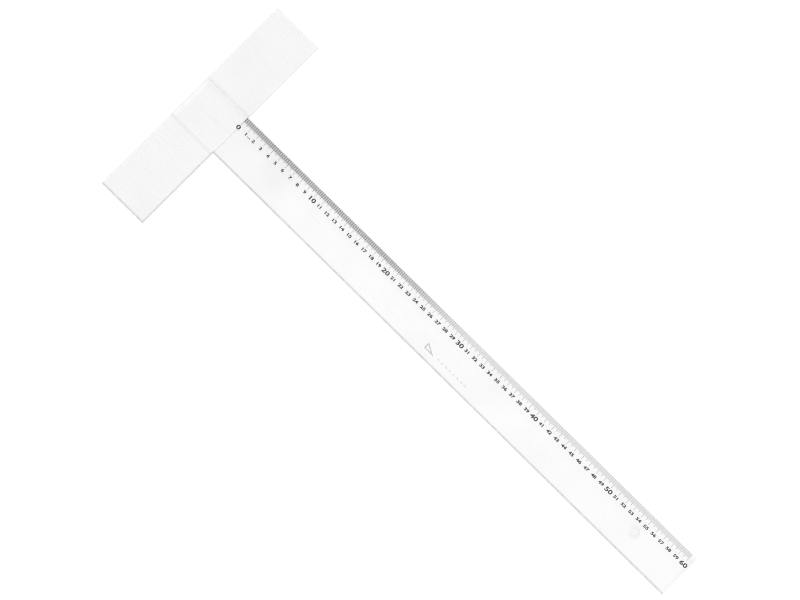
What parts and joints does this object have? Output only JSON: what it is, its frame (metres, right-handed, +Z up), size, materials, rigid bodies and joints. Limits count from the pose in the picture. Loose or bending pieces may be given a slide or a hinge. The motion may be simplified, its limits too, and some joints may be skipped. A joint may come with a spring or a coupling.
{
  "type": "t square",
  "caption": "Clear acrylic drafting T square: long ruled blade with a bevelled scale edge and a hanging hole, let into a flat layered head square to it.",
  "frame": {"origin": "under the middle of the bounding box, on the plane of the head's underside", "axes": "+X along the blade from the head to the tip, +Y along the head towards the scale edge, +Z up, away from the surface the head lies on"},
  "size_m": [0.661, 0.24, 0.0061],
  "materials": {
    "blade_acrylic": "clear polished acrylic sheet, fine handling scratches, polished bevel, sawn and scraped edges",
    "head_acrylic": "clear polished acrylic sheet, faintly hazed by cement between the layers",
    "scale_ink": "black screen-printed ink on the underside of the blade, rubbed a little thin towards the tip"
  },
  "bodies": {
    "root": {"blade": "blade_acrylic", "head_base_plate": "head_acrylic", "head_block_scale_side": "head_acrylic", "head_block_plain_side": "head_acrylic"}
  },
  "joints": []
}
